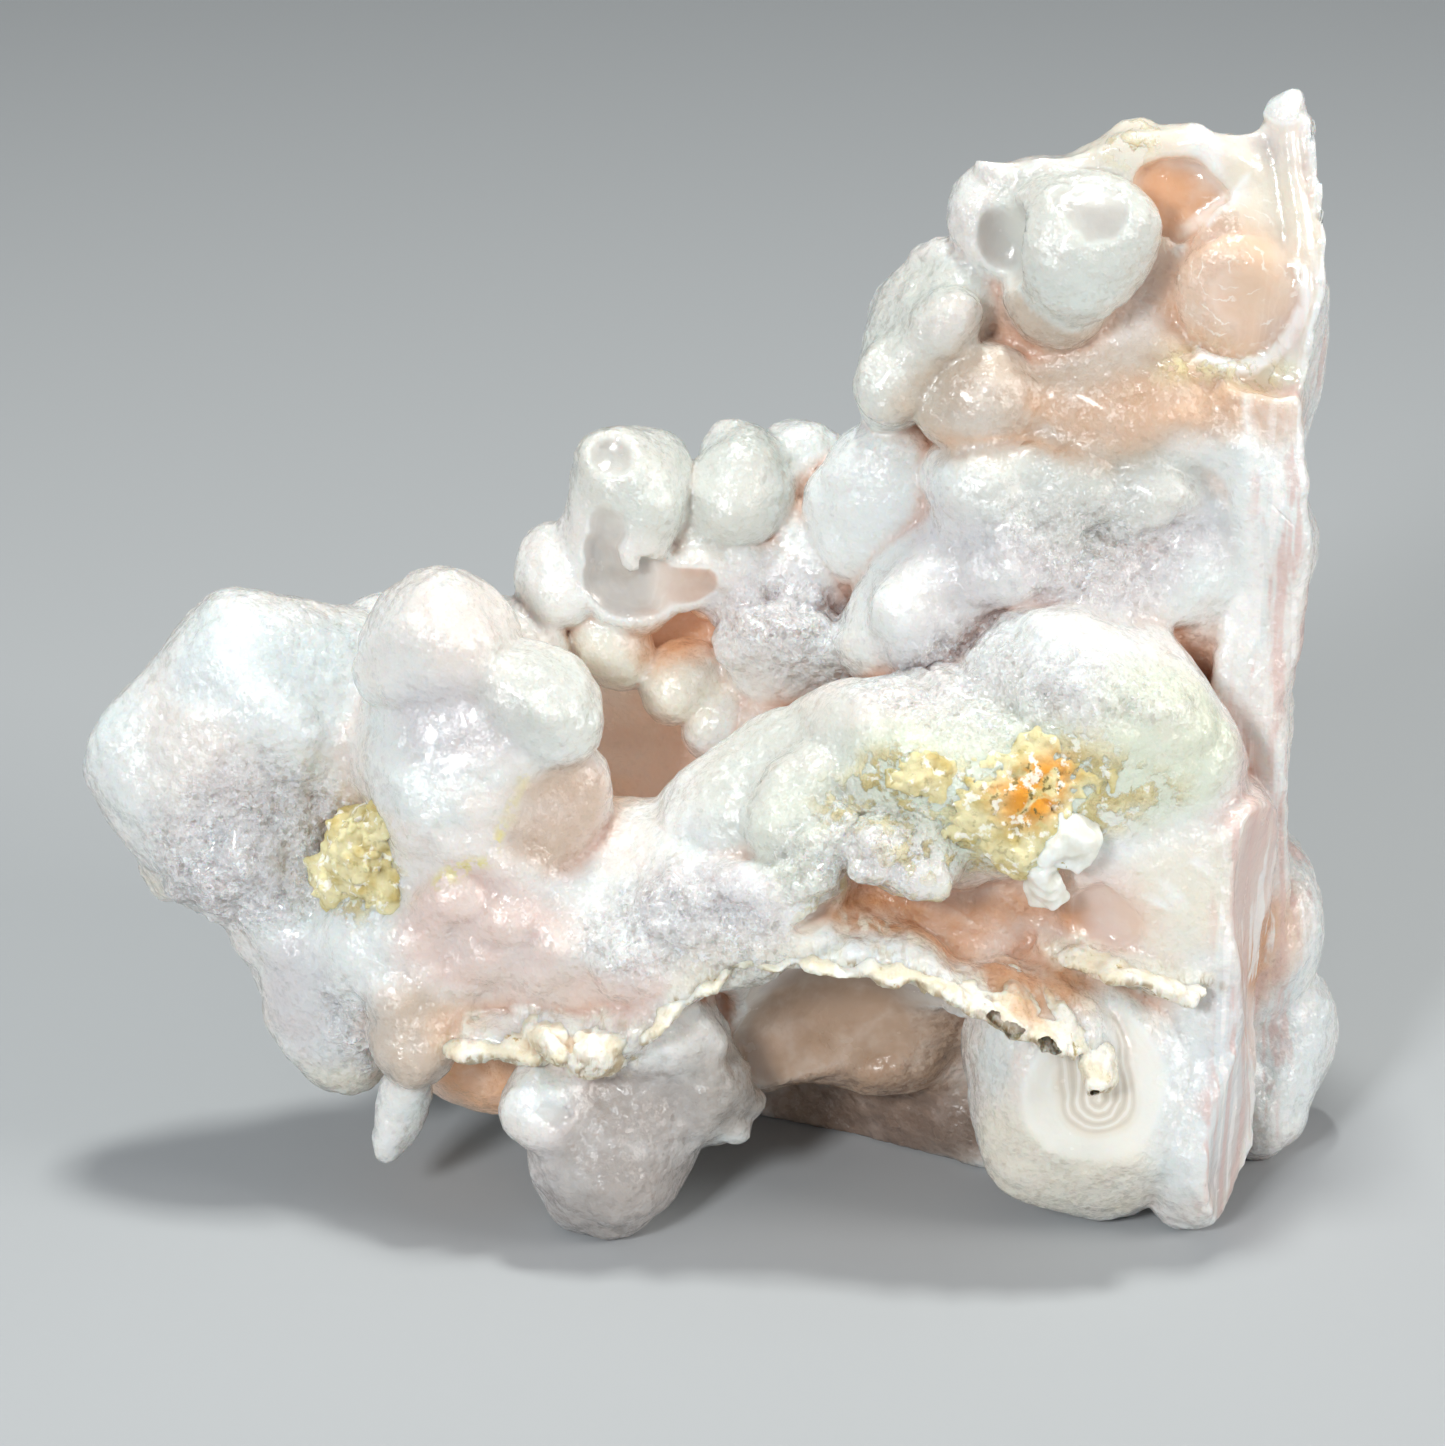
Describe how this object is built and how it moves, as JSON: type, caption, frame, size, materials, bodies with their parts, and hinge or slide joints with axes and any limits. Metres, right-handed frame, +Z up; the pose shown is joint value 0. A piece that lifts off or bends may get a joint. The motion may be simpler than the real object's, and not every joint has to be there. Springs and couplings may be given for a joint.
{
  "type": "botryoidal pink opal specimen",
  "caption": "Natural botryoidal pink opal: merged translucent globes rising to a broken tower, a ragged lip over a cave, and ochre host rock seated in the front.",
  "frame": {"origin": "middle of the specimen's outline seen from above, on the surface it stands on", "axes": "+X along its length, from the low wing towards the tower; +Y towards the back; +Z up"},
  "size_m": [0.0706, 0.036, 0.061],
  "materials": {
    "opal": "translucent white to pink opal, waxy to glassy, with sugary white skins",
    "host_rock": "dull, crumbly ochre rock"
  },
  "bodies": {
    "root": {"opal_body": "opal", "matrix_crust": "host_rock", "matrix_crumb": "host_rock"}
  },
  "joints": []
}
